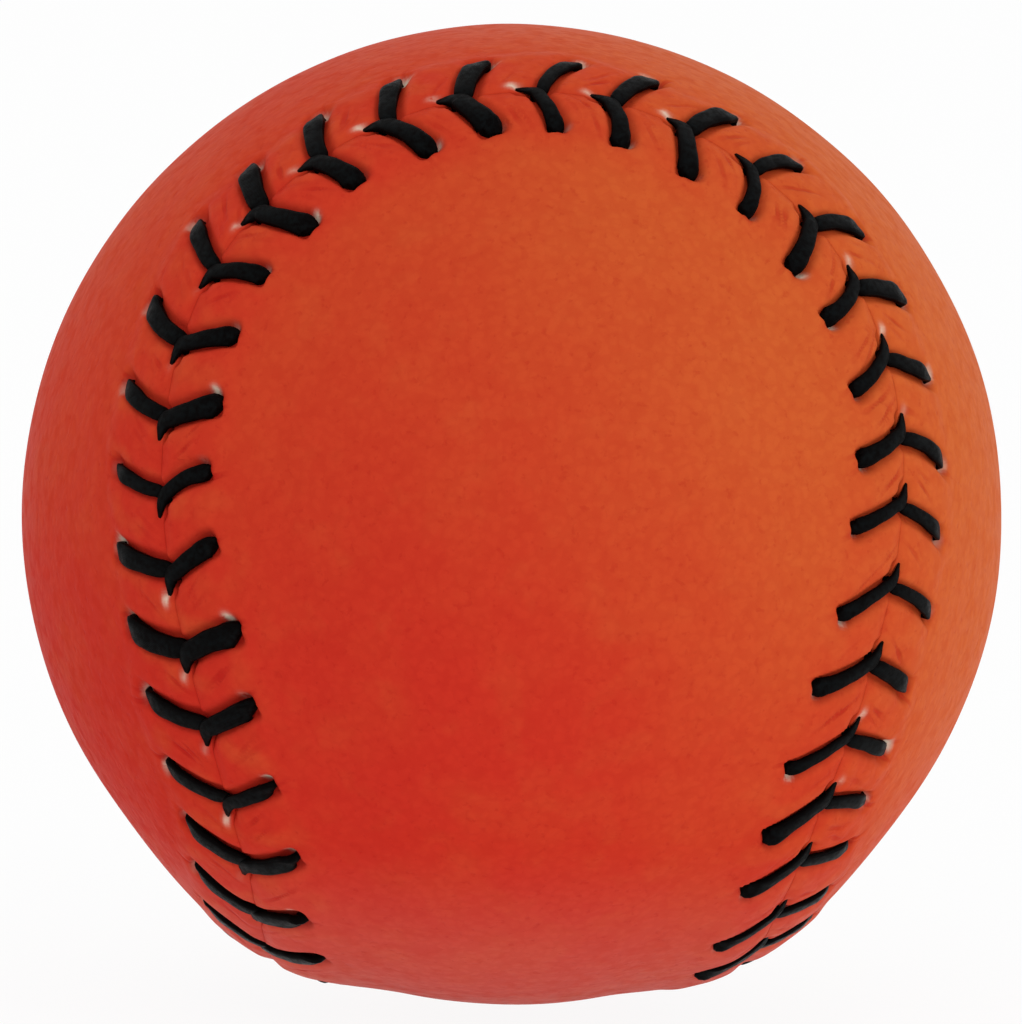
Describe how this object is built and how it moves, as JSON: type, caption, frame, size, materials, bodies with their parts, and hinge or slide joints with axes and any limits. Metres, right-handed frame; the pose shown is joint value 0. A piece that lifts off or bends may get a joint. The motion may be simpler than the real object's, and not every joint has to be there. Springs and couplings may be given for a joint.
{
  "type": "rounders ball",
  "caption": "Hard ball for rounders: figure-eight leather panels sewn edge to edge over a wound core, with a raised seam and black chevron stitching.",
  "frame": {"origin": "centre of the ball", "axes": "+Z along the seam's own axis, out through the waist of the side panel; the front panel has its lobes at -Y and +Y and its waist at -Z; the side panel has its lobes at -X and +X"},
  "size_m": [0.06, 0.06, 0.0611],
  "materials": {
    "cover_leather": "dyed orange, satin",
    "waxed_thread": "black, waxed",
    "cotton_yarn": "undyed, matte",
    "wool_yarn": "undyed, matte",
    "cork": "cut cork, matte"
  },
  "bodies": {
    "root": {"cork_centre": "cork", "wool_winding": "wool_yarn", "cotton_winding": "cotton_yarn", "front_cover_panel": "cover_leather", "side_cover_panel": "cover_leather", "sewing_thread_1": "waxed_thread", "sewing_thread_2": "waxed_thread"}
  },
  "joints": []
}
